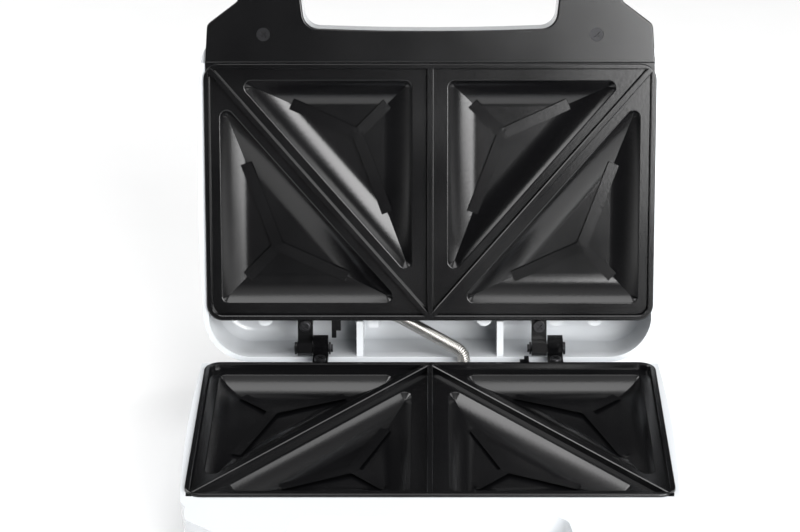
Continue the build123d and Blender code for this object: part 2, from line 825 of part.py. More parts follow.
def handle_hollow(rear, top, bottom):
    """Space inside a handle in front of a given y, round the wall of the finger opening."""
    with BuildPart() as hollow:
        with BuildSketch(Plane.XY.offset(top)):
            add(handle_outline(wall))
            with Locations((0, rear)):
                Rectangle(2 * plate_width, plate_width, align=(Align.CENTER, Align.MIN), mode=Mode.SUBTRACT)
            add(finger_opening(wall), mode=Mode.SUBTRACT)
        extrude(amount=bottom - top, taper=handle_draft)
    return hollow.part


def prism(outline, top, bottom):
    """Outline extruded between two levels."""
    with BuildPart() as form:
        with BuildSketch(Plane.XY.offset(top)):
            add(outline)
        extrude(amount=bottom - top)
    return form.part


def crown(radius):
    """Long cylinder whose lowest line is the ridge of the lid's arched outer face."""
    with BuildPart() as arch:
        with BuildSketch(Plane.XZ):
            with Locations((0, lid_crown_radius - lid_depth)):
                Circle(radius)
        extrude(amount=plate_width, both=True)
    return arch.part


def body_flange(rear):
    """Top flange round the plate, up to a given y at the rear."""
    with BuildPart() as ring:
        with BuildSketch(Plane.XY.offset(housing_rim)):
            add(body_outline(wall / 2))
            with Locations((0, -opening_y)):
                Rectangle(2 * opening_x, plate_width, align=(Align.CENTER, Align.MIN), mode=Mode.SUBTRACT)
            with Locations((0, rear)):
                Rectangle(2 * plate_width, plate_width, align=(Align.CENTER, Align.MIN), mode=Mode.SUBTRACT)
        extrude(amount=-flange)
    return ring.part


def tab_slots():
    """Slots for the two tabs on a plate's front edge."""
    with BuildPart() as slots:
        with BuildSketch(Plane.XY.offset(-tab_top + tab_play)):
            with Locations((-tab_x, -opening_y), (tab_x, -opening_y)):
                Rectangle(tab_width + 2 * tab_play, 2 * (beam_front - opening_y))
        extrude(amount=-tab_thickness - 2 * tab_play)
    return slots.part


# ---------------------------------------------------------------- lid housing

across_body = (-plate_width, plate_width)
slot_half = latch_width / 2 + latch_side_gap
block_half = slot_half + latch_block_margin
latch_y = latch_pin_inset - grip_front
latch_level = -latch_pin_drop
slot_rear = latch_slot_depth - grip_front
slot_level = latch_level - latch_barrel_radius - 1
pin_bore = latch_pin_radius + pin_clearance
tower_level = casting_bottom - tower_gap
arm_screw_end = arm_top - long_screw - screw_room
lens_places = [(-lamp_x, -lamp_y), (lamp_x, -lamp_y)]
lens_hole = lens_radius + part_gap
holder_level = lid_panel + holder_drop
holder_posts = [(side * (holder_length / 2 - holder_post_radius), -lamp_y) for side in (-1, 1)]


def crowned_form(inset, rounding):
    """Body of the lid, arched at the bottom, moved inwards on every side but its rim."""
    with BuildPart() as form:
        add(body_form(inset, inset - lid_depth))
        add(crown(lid_crown_radius - inset), mode=Mode.INTERSECT)
        fillet(form.faces().sort_by(Axis.Z)[0].edges(), rounding)
    return form.part


def lid_inner():
    """Towers, screw bosses and ribs that stand on the lid's outer panel, behind the plate."""
    with BuildPart() as inner:
        add(rods([(x, tower_y) for x in tower_places], tower_radius, tower_level, -lid_depth))
        add(rods(arm_screws, boss_radius, arm_bottom, -lid_depth))
        add(rods(holder_posts, holder_post_radius, holder_level, -lid_depth))
        for x in (-rib_x, rib_x):
            add(slab((x - rib_thickness / 2, x + rib_thickness / 2), (tower_y + 1, rear_edge),
                     (-rib_drop, -lid_depth)))
        add(crowned_form(wall / 2, lid_rounding - wall / 2), mode=Mode.INTERSECT)
    return inner.part


finger_hole = prism(finger_opening(0), 1, handle_level - 1)
beam = slab((-edge_x + wall, edge_x - wall), (-beam_front, -opening_y), (housing_rim, beam_level))

with BuildPart() as lid_housing:
    add(crowned_form(0, lid_rounding))
    add(handle_form(frame_level, handle_rounding))
    add(crowned_form(wall, lid_rounding - wall), mode=Mode.SUBTRACT)
    add(body_flange(opening_y))
    add(beam)
    add(handle_hollow(-beam_front, frame_level, handle_floor), mode=Mode.SUBTRACT)
    # seat of the black frame
    add(slab(across_body, (-plate_width, frame_rear), (frame_level, 1)), mode=Mode.SUBTRACT)
    add(tab_slots(), mode=Mode.SUBTRACT)
    add(lid_inner())
    add(rods(frame_screws, tower_radius, frame_level, handle_floor))
    add(rods(frame_screws, screw_hole, frame_level, frame_level - screw_length), mode=Mode.SUBTRACT)
    add(rods(arm_screws, screw_hole, arm_bottom, arm_screw_end), mode=Mode.SUBTRACT)
    # block, slot and pin bore for the latch
    add(slab((-block_half, block_half), (wall - grip_front, -latch_block_rear), (frame_level, handle_floor)))
    add(slab((-slot_half, slot_half), (-plate_width, slot_rear), (slot_level, 1)), mode=Mode.SUBTRACT)
    add(cross_rod(latch_y, latch_level, pin_bore, block_half), mode=Mode.SUBTRACT)
    add(finger_hole, mode=Mode.SUBTRACT)
    add(rods(lens_places, lens_hole, 0, -2 * lid_depth), mode=Mode.SUBTRACT)
place(lid_housing.part, lid_seat, "lid_housing")

# ---------------------------------------------------------------- base housing

catch_y = catch_inset - grip_front
gland_centre_level = gland_z - rim_height


def gland_rod(radius, front, rear):
    """Round bar along local y at the height of the cord gland."""
    with BuildPart() as bar:
        with BuildSketch(Plane.XZ.offset(-front)):
            with Locations((gland_x, gland_centre_level)):
                Circle(radius)
        extrude(amount=front - rear)
    return bar.part


def base_inner():
    """Bosses and towers of the base, kept within its walls."""
    with BuildPart() as inner:
        add(rods(arm_screws, boss_radius, arm_bottom, deck_bottom))
        add(rods([place for place in cover_screws if place[1] > 0], tower_radius, deck_bottom, floor_level))
        add(rods([place for place in cover_screws if place[1] < 0], tower_radius, flange_level, floor_level))
    return inner.part


with BuildPart() as base_housing:
    add(body_form(0, cover_level))
    with BuildSketch(Plane.XY.offset(housing_rim)):
        add(handle_outline(0))
    extrude(amount=split_level - housing_rim, taper=handle_draft)
    add(body_form(wall, cover_level), mode=Mode.SUBTRACT)
    add(handle_hollow(front_edge, flange_level, split_level), mode=Mode.SUBTRACT)
    add(body_flange(strip_rear))
    add(beam)
    # cut the rear down to the deck, and keep a low wall behind the plate
    add(slab(across_body, (strip_rear, plate_width), (deck_level, 1)), mode=Mode.SUBTRACT)
    add(slab((-opening_x, opening_x), (opening_y, strip_rear), (housing_rim, deck_bottom)))
    with BuildSketch(Plane.XY.offset(deck_level)):
        add(body_outline(wall / 2))
        with Locations((0, opening_y)):
            Rectangle(2 * plate_width, 2 * plate_width, align=(Align.CENTER, Align.MAX), mode=Mode.SUBTRACT)
    extrude(amount=-deck_thickness)
    add(base_inner())
    notch_half = arm_width / 2 + arm_notch
    for x in arms:
        notch = slab((x - notch_half, x + notch_half), (opening_y - 1, strip_rear + 1),
                     (arm_bottom - arm_notch, 1))
        add(notch, mode=Mode.SUBTRACT)
    add(slab((lug_x - arm_notch, lug_x + lug_width + arm_notch), (opening_y - 1, strip_rear + 1),
             (-lip_thickness - lug_thickness - arm_notch, 1)), mode=Mode.SUBTRACT)
    add(tab_slots(), mode=Mode.SUBTRACT)
    add(rods(grip_screws, tower_radius, flange_level, handle_floor))
    add(rods(grip_screws, screw_hole, handle_floor, handle_floor + screw_length), mode=Mode.SUBTRACT)
    add(rods(arm_screws, screw_hole, arm_bottom, arm_screw_end), mode=Mode.SUBTRACT)
    add(rods(cover_screws, screw_hole, floor_level, floor_level + screw_length), mode=Mode.SUBTRACT)
    # ledge and recess that the latch hooks under
    add(slab((-block_half, block_half), (wall - grip_front, -latch_block_rear), (flange_level, split_level)))
    add(slab((-slot_half, slot_half), (-plate_width, catch_y), (-catch_room, 1)), mode=Mode.SUBTRACT)
    add(slab((-slot_half, slot_half), (-plate_width, slot_rear), (-catch_room, -catch_drop)),
        mode=Mode.SUBTRACT)
    add(finger_hole, mode=Mode.SUBTRACT)
    # hole in the deck for the conduit, and the pad and hole for the cord gland
    add(rods([(conduit_base_x, conduit_base_y)], conduit_radius + part_gap, 0, -lid_depth),
        mode=Mode.SUBTRACT)
    add(gland_rod(gland_pad_radius, rear_edge - 2 * wall, rear_edge))
    add(gland_rod(gland_body + screw_clearance, rear_edge - 4 * wall, rear_edge + 1), mode=Mode.SUBTRACT)
place(base_housing.part, base_seat, "base_housing")

# ---------------------------------------------------------------- handle frame and handle cover

with BuildPart() as handle_frame:
    with BuildSketch(Plane.XY.offset(frame_level)):
        add(handle_outline(0))
        with Locations((0, frame_rear)):
            Rectangle(2 * plate_width, plate_width, align=(Align.CENTER, Align.MIN), mode=Mode.SUBTRACT)
        add(finger_opening(0), mode=Mode.SUBTRACT)
        with Locations((0, slot_rear)):
            Rectangle(2 * slot_half, plate_width, align=(Align.CENTER, Align.MAX), mode=Mode.SUBTRACT)
    extrude(amount=frame_thickness)
    fillet(handle_frame.faces().sort_by(Axis.Z)[-1].edges(), frame_rounding)
    add(countersinks(frame_screws, -screw_sink, -1), mode=Mode.SUBTRACT)
    add(rods(frame_screws, flat_head_radius + screw_clearance, 1, -screw_sink), mode=Mode.SUBTRACT)
place(handle_frame.part, lid_seat, "handle_frame")
place(flat_screws(frame_screws, -screw_sink, -1), lid_seat, "handle_frame_screws")

with BuildPart() as handle_cover:
    add(handle_form(housing_rim, handle_rounding))
    add(slab(across_body, across_body, (split_level - part_gap, 1)), mode=Mode.SUBTRACT)
    add(slab(across_body, (front_edge - part_gap, plate_width), (-lid_depth, 1)), mode=Mode.SUBTRACT)
    add(handle_hollow(front_edge - part_gap - wall, flange_level, handle_floor), mode=Mode.SUBTRACT)
    add(finger_hole, mode=Mode.SUBTRACT)
    add(countersinks(grip_screws, handle_level, 1), mode=Mode.SUBTRACT)
place(handle_cover.part, base_seat, "base_handle_cover")
place(flat_screws(grip_screws, handle_level, 1), base_seat, "base_handle_screws")

# ---------------------------------------------------------------- bottom cover and feet

feet = {"front_left": (-1, -foot_front_y), "front_right": (1, -foot_front_y),
        "rear_left": (-1, foot_rear_y), "rear_right": (1, foot_rear_y)}
feet_places = {name: (side * (edge_x - foot_inset_x), y) for name, (side, y) in feet.items()}


def cover_form(inset, top, bottom, rounding):
    """Bottom cover of the base, carrying on the draft of the body above it."""
    with BuildPart() as form:
        with BuildSketch(Plane.XY.offset(top)):
            add(body_outline(cover_inset + inset))
        extrude(amount=bottom - top)
        sides = [face for face in form.faces() if abs(face.normal_at(face.center()).Z) < 0.1]
        draft(sides, Plane.XY.offset(cover_level), -body_draft)
        fillet(form.faces().sort_by(Axis.Z)[0].edges(), rounding)
    return form.part


with BuildPart() as bottom_cover:
    add(cover_form(0, cover_level, -lid_depth, cover_rounding))
    add(cover_form(wall, cover_level, floor_level, cover_rounding - wall), mode=Mode.SUBTRACT)
    with BuildSketch(Plane.XY.offset(-lid_depth)):
        with GridLocations(0, vent_pitch, 1, vent_count):
            SlotOverall(vent_length, vent_width)
    extrude(amount=cover_floor, mode=Mode.SUBTRACT)
    add(rods(list(feet_places.values()), foot_stem_radius + screw_clearance, floor_level, -lid_depth),
        mode=Mode.SUBTRACT)
    add(countersinks(cover_screws, -lid_depth, 1), mode=Mode.SUBTRACT)
place(bottom_cover.part, base_seat, "bottom_cover")
place(flat_screws(cover_screws, -lid_depth, 1), base_seat, "bottom_cover_screws")

for name, spot in feet_places.items():
    with BuildPart() as foot:
        with BuildSketch():
            with Locations(spot):
                Circle(foot_radius)
        extrude(amount=foot_height)
        fillet(foot.faces().sort_by(Axis.Z)[0].edges(), foot_rounding)
        with BuildSketch(Plane.XY.offset(foot_height)):
            with Locations(spot):
                Circle(foot_stem_radius)
        extrude(amount=foot_stem_height)
    save(foot.part, f"foot_{name}")

# ---------------------------------------------------------------- cord gland and terminal block

with BuildPart() as gland:
    add(gland_rod(gland_flange, rear_edge, rear_edge + gland_flange_thickness))
    fillet(gland.edges().sort_by(Axis.Y)[-1], gland_flange_thickness / 2)
    add(gland_rod(gland_body, rear_edge - 2 * wall - gland_inner_length, rear_edge))
    add(gland_rod(gland_bore, 0, rear_edge + 2 * gland_flange_thickness), mode=Mode.SUBTRACT)
place(gland.part, base_seat, "cord_gland")

with BuildPart() as terminal_block:
    with BuildSketch(Plane.XY.offset(rim_height + floor_level)):
        with Locations((terminal_x, terminal_y)):
            Rectangle(terminal_size_x, terminal_size_y)
    extrude(amount=terminal_height)
    with BuildSketch(Plane.XY.offset(rim_height + floor_level + terminal_height)):
        with Locations((terminal_x, terminal_y)):
            with GridLocations(terminal_size_x / terminal_ways, terminal_size_y / 2, terminal_ways, 2):
                Circle(screw_radius)
    extrude(amount=-cross_length, mode=Mode.SUBTRACT)
save(terminal_block.part, "terminal_block")

# ---------------------------------------------------------------- lamps of the lid

lens_inner = lid_panel + part_gap
lens_outer = -lid_depth - lens_proud
lamp_level = lens_inner + lens_flange_thickness + part_gap

for side, name in ((-1, "power_lamp_lens"), (1, "ready_lamp_lens")):
    spot = (side * lamp_x, -lamp_y)
    with BuildPart() as lens:
        with BuildSketch(Plane.XY.offset(lens_inner)):
            with Locations(spot):
                Circle(lens_radius)
        extrude(amount=lens_outer - lens_inner)
        fillet(lens.faces().sort_by(Axis.Z)[0].edges(), lens_proud)
        with BuildSketch(Plane.XY.offset(lens_inner)):
            with Locations(spot):
                Circle(lens_flange_radius)
        extrude(amount=lens_flange_thickness)
    place(lens.part, lid_seat, name)

with BuildPart() as neon_lamps:
    add(rods(lens_places, lamp_radius, lamp_level + lamp_length, lamp_level))
    fillet(neon_lamps.faces().group_by(Axis.Z)[0].edges(), lamp_radius / 2)
place(neon_lamps.part, lid_seat, "neon_lamps")

with BuildPart() as lamp_holder:
    with BuildSketch(Plane.XY.offset(holder_level)):
        with Locations((0, -lamp_y)):
            RectangleRounded(holder_length, holder_width, holder_post_radius)
        with Locations(*lens_places):
            Circle(lamp_radius + screw_clearance, mode=Mode.SUBTRACT)
    extrude(amount=holder_thickness)
place(lamp_holder.part, lid_seat, "lamp_holder")

# ---------------------------------------------------------------- hinge pins and clips

arm_half_width = arm_width / 2
pin_spans = {"left": (-arm_right - arm_half_width, arm_left + arm_half_width, -1),
             "right": (-arm_left - arm_half_width, arm_right + arm_half_width, 1)}


def hinge_rod(start, end, radius):
    """Round bar on the hinge axis between two world x."""
    with BuildPart() as bar:
        with BuildSketch(Plane.YZ.offset(start)):
            with Locations((hinge_y, hinge_z)):
                Circle(radius)
        extrude(amount=end - start)
    return bar.part


for name, (start, end, side) in pin_spans.items():
    outer, inner = (start, end) if side < 0 else (end, start)
    head = outer + side * (pin_head_gap + pin_head_height)
    tail = inner - side * (2 * pin_head_gap + 2 * clip_thickness)
    with BuildPart() as pin:
        add(hinge_rod(head, tail, pin_radius))
        add(hinge_rod(head, outer + side * pin_head_gap, pin_head_radius))
    save(pin.part, f"hinge_pin_{name}")

with BuildPart() as clips:
    for start, end, side in pin_spans.values():
        inner = end if side < 0 else start
        clip_start = inner - side * pin_head_gap
        add(hinge_rod(clip_start, clip_start - side * clip_thickness, pin_head_radius))
    add(hinge_rod(-plate_width, plate_width, pin_hole), mode=Mode.SUBTRACT)
save(clips.part, "hinge_clips")

# ---------------------------------------------------------------- latch

latch_half = latch_width / 2
hook_low = rim_gap + catch_drop + latch_play
hook_top = hook_low + latch_hook_height
plate_outer = latch_y - latch_barrel_radius
plate_inner = plate_outer + latch_plate_thickness

with BuildPart() as latch:
    with BuildSketch(Plane.YZ):
        with Locations((latch_y, latch_level)):
            Circle(latch_barrel_radius)
        with BuildLine():
            Polyline((plate_outer, latch_level), (plate_outer, hook_top - latch_hook_height / 2),
                     (plate_outer + latch_hook_height / 2, hook_top), (plate_inner, hook_top),
                     (plate_inner + latch_hook_reach, hook_low + latch_hook_height / 2),
                     (plate_inner + latch_hook_reach, hook_low), (plate_inner, hook_low),
                     (plate_inner, latch_level), close=True)
        make_face()
        with Locations((latch_y, latch_level)):
            Circle(pin_bore, mode=Mode.SUBTRACT)
    extrude(amount=latch_half, both=True)
place(latch.part, lid_seat, "latch")
pin_half = latch_half + latch_block_margin / 2
place(cross_rod(latch_y, latch_level, latch_pin_radius, pin_half), lid_seat, "latch_pin")

# ---------------------------------------------------------------- sprung conduit over the hinge

conduit_bottom = Vector(conduit_base_x, conduit_base_y, conduit_bottom_z)
knee = Vector(conduit_base_x, conduit_base_y, conduit_bend_z)
elbow = lid_seat.from_local_coords((-conduit_lid_x, conduit_lid_y, -conduit_lid_drop))
conduit_end = lid_seat.from_local_coords((-conduit_end_x, conduit_lid_y, -conduit_lid_drop))


def bend_ends(before, corner, after, radius):
    """Where a bend between two straight runs starts and ends, and the angle it turns through."""
    coming = (corner - before).normalized()
    going = (after - corner).normalized()
    turn = coming.get_angle(going)
    setback = radius * math.tan(math.radians(turn / 2))
    return corner - coming * setback, corner + going * setback, turn


knee_start, knee_end, knee_turn = bend_ends(conduit_bottom, knee, elbow, lower_bend)
elbow_start, elbow_end, elbow_turn = bend_ends(knee, elbow, conduit_end, upper_bend)


def conduit_line(overrun):
    """Middle line of the conduit, run on past both of its ends."""
    with BuildLine() as line:
        Line(conduit_bottom - Vector(0, 0, overrun), knee_start)
        TangentArc(knee_start, knee_end, tangent=knee - conduit_bottom)
        Line(knee_end, elbow_start)
        TangentArc(elbow_start, elbow_end, tangent=elbow - knee)
        Line(elbow_end, conduit_end + (conduit_end - elbow).normalized() * overrun)
    return line.wires()[0]


with BuildPart() as leads:
    leads_path = conduit_line(leads_overrun)
    with BuildSketch(Plane(leads_path @ 0, z_dir=leads_path % 0)):
        Circle(leads_radius)
    sweep(path=leads_path)
save(leads.part, "conduit_leads")

# Each bend: how far along the middle line it starts, its radius, its axis and its angle.
conduit_path = conduit_line(0)
knee_at = (knee_start - conduit_bottom).length
elbow_at = knee_at + lower_bend * math.radians(knee_turn) + (elbow_start - knee_end).length
knee_axis = (knee - conduit_bottom).cross(elbow - knee).normalized()
elbow_axis = (elbow - knee).cross(conduit_end - elbow).normalized()
bends = ((knee_at, lower_bend, knee_axis, knee_turn), (elbow_at, upper_bend, elbow_axis, elbow_turn))


def carried(direction, distance):
    """Direction carried along the conduit, turned with each bend but not about the middle line."""
    for start, radius, axis, full_turn in bends:
        turn = min(max(math.degrees((distance - start) / radius), 0), full_turn)
        direction = direction.rotate(Axis((0, 0, 0), axis), turn)
    return direction


coil_radius = conduit_radius - conduit_wire / 2
coil_margin = conduit_wire
turn_step = 0.002              # part of a turn that the wire's direction is measured over
coil_length = conduit_path.length - 2 * coil_margin


def coil_point(turns):
    """Point on the middle of the coil's wire after a number of turns."""
    distance = coil_margin + coil_length * turns / conduit_turns
    angle = 2 * math.pi * turns
    across_x = carried(Vector(1, 0, 0), distance)
    across_y = carried(Vector(0, 1, 0), distance)
    return conduit_path @ (distance / conduit_path.length) + (
        across_x * math.cos(angle) + across_y * math.sin(angle)) * coil_radius


def coil_direction(turns):
    """Direction of the wire there."""
    return (coil_point(turns + turn_step) - coil_point(turns - turn_step)).normalized()


# Every half turn of the coil is a pair of arcs that share a tangent where they meet.
knots = [(coil_point(i / 2), coil_direction(i / 2)) for i in range(2 * conduit_turns + 1)]
with BuildLine() as coil:
    first, first_direction = knots[0]
    last, last_direction = knots[-1]
    Line(first - first_direction * conduit_wire, first)
    for (start, leaving), (end, arriving) in zip(knots, knots[1:]):
        chord = end - start
        spread = 2 * (1 - leaving.dot(arriving))
        along = chord.dot(leaving + arriving)
        reach = (math.sqrt(along ** 2 + spread * chord.dot(chord)) - along) / spread
        near = start + leaving * reach
        far = end - arriving * reach
        middle = (near + far) / 2
        TangentArc(start, middle, tangent=leaving)
        TangentArc(middle, end, tangent=far - near)
    Line(last, last + last_direction * conduit_wire)

coil_wire = coil.wires()[0]
with BuildPart() as conduit:
    with BuildSketch(Plane(coil_wire @ 0, z_dir=coil_wire % 0)):
        Circle(conduit_wire / 2)
    sweep(path=coil_wire)
save(conduit.part, "wire_conduit")

sample_count = samples_per_turn * conduit_turns
samples = [coil_wire @ (i / sample_count) for i in range(sample_count + 1)]
nearest = min((a - b).length for i, a in enumerate(samples)
              for b in samples[i + samples_per_turn // 2:i + samples_per_turn * 3 // 2])
print("least gap between turns of the conduit", round(nearest - conduit_wire, 3))

# Collar on the deck and pillar in the lid that hold the ends of the conduit.
clamp_hole = conduit_radius + clamp_clearance
clamp_half = clamp_hole + clamp_wall
with BuildPart() as collar:
    with BuildSketch(Plane.XY.offset(rim_height + deck_level)):
        with Locations((conduit_base_x, conduit_base_y)):
            RectangleRounded(2 * clamp_half, 2 * clamp_half, clamp_wall)
            Circle(clamp_hole, mode=Mode.SUBTRACT)
    extrude(amount=collar_height)
save(collar.part, "conduit_clamp_base")

pillar_span = (-conduit_end_x - pillar_length, -conduit_end_x)
with BuildPart() as pillar:
    add(slab(pillar_span, (conduit_lid_y - clamp_half, conduit_lid_y + clamp_half),
             (clamp_half - conduit_lid_drop, -pillar_waist)))
    add(slab(pillar_span, (pillar_front, conduit_lid_y + clamp_half), (-pillar_waist, -lid_depth)))
    add(cross_rod(conduit_lid_y, -conduit_lid_drop, clamp_hole, plate_width), mode=Mode.SUBTRACT)
    add(crowned_form(wall + screw_clearance, lid_rounding - wall), mode=Mode.INTERSECT)
place(pillar.part, lid_seat, "conduit_clamp_lid")
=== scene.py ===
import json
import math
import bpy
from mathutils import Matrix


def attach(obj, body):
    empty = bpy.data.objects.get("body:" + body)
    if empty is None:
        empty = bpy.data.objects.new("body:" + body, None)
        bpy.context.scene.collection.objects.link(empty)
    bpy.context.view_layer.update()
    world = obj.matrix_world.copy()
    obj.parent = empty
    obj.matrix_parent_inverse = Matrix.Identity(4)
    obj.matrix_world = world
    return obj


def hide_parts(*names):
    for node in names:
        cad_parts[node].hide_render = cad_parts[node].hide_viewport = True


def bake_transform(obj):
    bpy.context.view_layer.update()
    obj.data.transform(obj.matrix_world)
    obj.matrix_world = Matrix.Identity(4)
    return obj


bl_info = {
    "name": "Sandwich Toaster",
    "version": (1, 0, 0),
    "blender": (4, 5, 0),
    "location": "View3D > Sidebar > Toaster",
    "description": "Finishes a hinged sandwich toaster: coated plates, housings, handle, conduit and stage",
    "category": "Add Mesh",
}

import bmesh
import bpy
from bpy.props import FloatProperty, FloatVectorProperty, IntProperty, PointerProperty
from mathutils import Matrix, Vector

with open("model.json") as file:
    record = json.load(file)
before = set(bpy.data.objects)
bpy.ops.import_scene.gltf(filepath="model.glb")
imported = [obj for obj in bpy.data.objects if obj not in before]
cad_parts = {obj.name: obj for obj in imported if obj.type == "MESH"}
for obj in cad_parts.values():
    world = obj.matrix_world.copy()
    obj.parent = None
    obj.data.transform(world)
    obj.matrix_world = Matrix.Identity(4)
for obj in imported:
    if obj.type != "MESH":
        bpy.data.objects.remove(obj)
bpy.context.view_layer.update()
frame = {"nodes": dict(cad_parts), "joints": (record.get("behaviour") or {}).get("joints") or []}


# ---------------------------------------------------------------- fixed values

NOISE_SPAN = (0.3, 0.7)        # most of a noise's values lie between these
BROAD_DETAIL = 4
CORNER_STEPS = 12              # of each rounded end of the black strip of painted shade in the groove
MERGE_DISTANCE = 0.000001
WIRE_SIDES = 8
CURVE_STEPS = 12
ROUND_STEPS = 4                # of a quarter of a round lead
FLOOR_HALF = 4.0
FLOOR_SQUARES = 8
SKY_BAND = (0.6, 0.95)         # height of a direction where the sky starts and where it is full
FILM_WIDTH = 36
PICTURE_WIDTH = 800
PICTURE_SHIFT = -31            # pixels
EYE_PLACE = (0.0005, -1.0891, 0.6455)
EYE_TILT = math.radians(90 - 25.591)

# name, setting that holds its power, place, point that it faces, size
LIGHTS = (
    ("Key light", "key_light", (0.68, -1.03, 0.60), (0, 0.1, 0.15), (1.1, 0.75)),
    ("Left light", "left_light", (-1.1, 0.45, 0.85), (0, 0.05, 0.15), (0.9, 0.7)),
    ("Right light", "right_light", (1.25, 0.2, 0.8), (0, 0.05, 0.15), (0.7, 0.7)),
    ("Top light", "top_light", (0.0, 0.1, 1.6), (0, 0.05, 0.1), (1.0, 0.8)),
)


# ---------------------------------------------------------------- settings

class PlateLook(bpy.types.PropertyGroup):
    """Finish of the cooking plates"""
    coat_color: FloatVectorProperty(
        name="Coating", description="Colour of the non-stick coating", subtype="COLOR", size=3,
        min=0, max=1, default=(0.0028, 0.0028, 0.0032))
    coat_roughness: FloatProperty(
        name="Roughness", description="How dull the coating is", subtype="FACTOR", min=0, max=1,
        default=0.20)
    orange_peel: FloatProperty(
        name="Orange peel", description="Height of the fine unevenness of the coating",
        subtype="DISTANCE", min=0, default=0.00002)


class HousingLook(bpy.types.PropertyGroup):
    """Finish of the white housings and the black trim"""
    shell_color: FloatVectorProperty(
        name="Shell", description="Colour of the moulded housings", subtype="COLOR", size=3,
        min=0, max=1, default=(0.69, 0.712, 0.735))
    shell_roughness: FloatProperty(
        name="Shell roughness", description="How dull the housings are", subtype="FACTOR",
        min=0, max=1, default=0.22)
    trim_color: FloatVectorProperty(
        name="Trim", description="Colour of the handle frame and latch", subtype="COLOR", size=3,
        min=0, max=1, default=(0.0034, 0.0034, 0.0038))
    trim_roughness: FloatProperty(
        name="Trim roughness", description="How dull the handle frame is", subtype="FACTOR",
        min=0, max=1, default=0.21)


class FrameGroove(bpy.types.PropertyGroup):
    """Groove between the lid's plate and the handle frame, in which a black strip of painted shade lies"""
    plate_half_width: FloatProperty(
        name="Plate half width", description="Middle of the lid's plate to its side",
        subtype="DISTANCE", min=0.01, default=0.1125)
    plate_half_depth: FloatProperty(
        name="Plate half depth", description="Middle of the lid's plate to its front edge",
        subtype="DISTANCE", min=0.01, default=0.065)
    corner_radius: FloatProperty(
        name="Plate corner", description="Radius of the corners of the plate", subtype="DISTANCE",
        min=0.001, default=0.008)
    groove: FloatProperty(
        name="Groove", description="Gap between the plate and the handle frame",
        subtype="DISTANCE", min=0.0001, default=0.0003)
    # Play, half width and height are those of the black strip of painted shade in the groove
    play: FloatProperty(
        name="Play", description="Gap left between the plate and the painted shade strip",
        subtype="DISTANCE", min=0, default=0.00005)
    shade_strip_half_width: FloatProperty(
        name="Shade strip half width", description="Middle of the frame to the end of the painted shade strip",
        subtype="DISTANCE", min=0.01, default=0.1115)
    shade_strip_height: FloatProperty(
        name="Shade strip height", description="Thickness of the painted shade strip",
        subtype="DISTANCE", min=0.0001, default=0.0006)
    rim_drop: FloatProperty(
        name="Rim drop", description="Top of the plate down to the rim of its housing",
        subtype="DISTANCE", min=0, default=0.0015)
    hinge_back: FloatProperty(
        name="Hinge back", description="Middle of the plate back to the hinge", subtype="DISTANCE",
        min=0, default=0.079)
    hinge_rise: FloatProperty(
        name="Hinge rise", description="Top of the plate up to the hinge", subtype="DISTANCE",
        min=0, default=0.0003)
    lean: FloatProperty(
        name="Lean", description="How far the open lid leans back", subtype="ANGLE",
        default=math.radians(15))


class ConduitSize(bpy.types.PropertyGroup):
    """Sizes of the sprung conduit and the leads in it"""
    coil_radius: FloatProperty(
        name="Coil radius", description="Middle of the coil to the middle of its wire",
        subtype="DISTANCE", min=0.001, default=0.00283)
    wire_radius: FloatProperty(
        name="Wire radius", description="Half the thickness of the wire", subtype="DISTANCE",
        min=0.0001, default=0.00037)
    pitch: FloatProperty(
        name="Pitch", description="From one turn of the coil to the next", subtype="DISTANCE",
        min=0.0002, default=0.00086)
    steps: IntProperty(
        name="Steps", description="Sections in one turn of the coil", min=8, default=24)
    leads_radius: FloatProperty(
        name="Leads radius", description="Half the thickness of the covered leads inside",
        subtype="DISTANCE", min=0.0005, default=0.002)


class StageLook(bpy.types.PropertyGroup):
    """Floor, lights and lens"""
    floor_color: FloatVectorProperty(
        name="Floor", description="Colour of the floor", subtype="COLOR", size=3, min=0, max=1,
        default=(0.92, 0.92, 0.92))
    sky: FloatProperty(
        name="Sky", description="Light from overhead", min=0, default=0.8)
    horizon: FloatProperty(
        name="Horizon", description="Light from low down all round", min=0, default=0.03)
    key_light: FloatProperty(
        name="Key light", description="Power of the soft light in front on the right",
        subtype="POWER", min=0, default=30)
    left_light: FloatProperty(
        name="Left light", description="Power of the soft light on the left", subtype="POWER",
        min=0, default=11)
    right_light: FloatProperty(
        name="Right light", description="Power of the soft light on the right",
        subtype="POWER", min=0, default=5)
    top_light: FloatProperty(
        name="Top light", description="Power of the soft light overhead", subtype="POWER", min=0,
        default=7)
    lens: FloatProperty(
        name="Lens", description="Focal length in millimetres", min=1, default=115.8)


SETTINGS = {"toaster_plates": PlateLook, "toaster_housings": HousingLook,
            "toaster_frame_groove": FrameGroove, "toaster_conduit": ConduitSize,
            "toaster_stage": StageLook}


# ---------------------------------------------------------------- materials

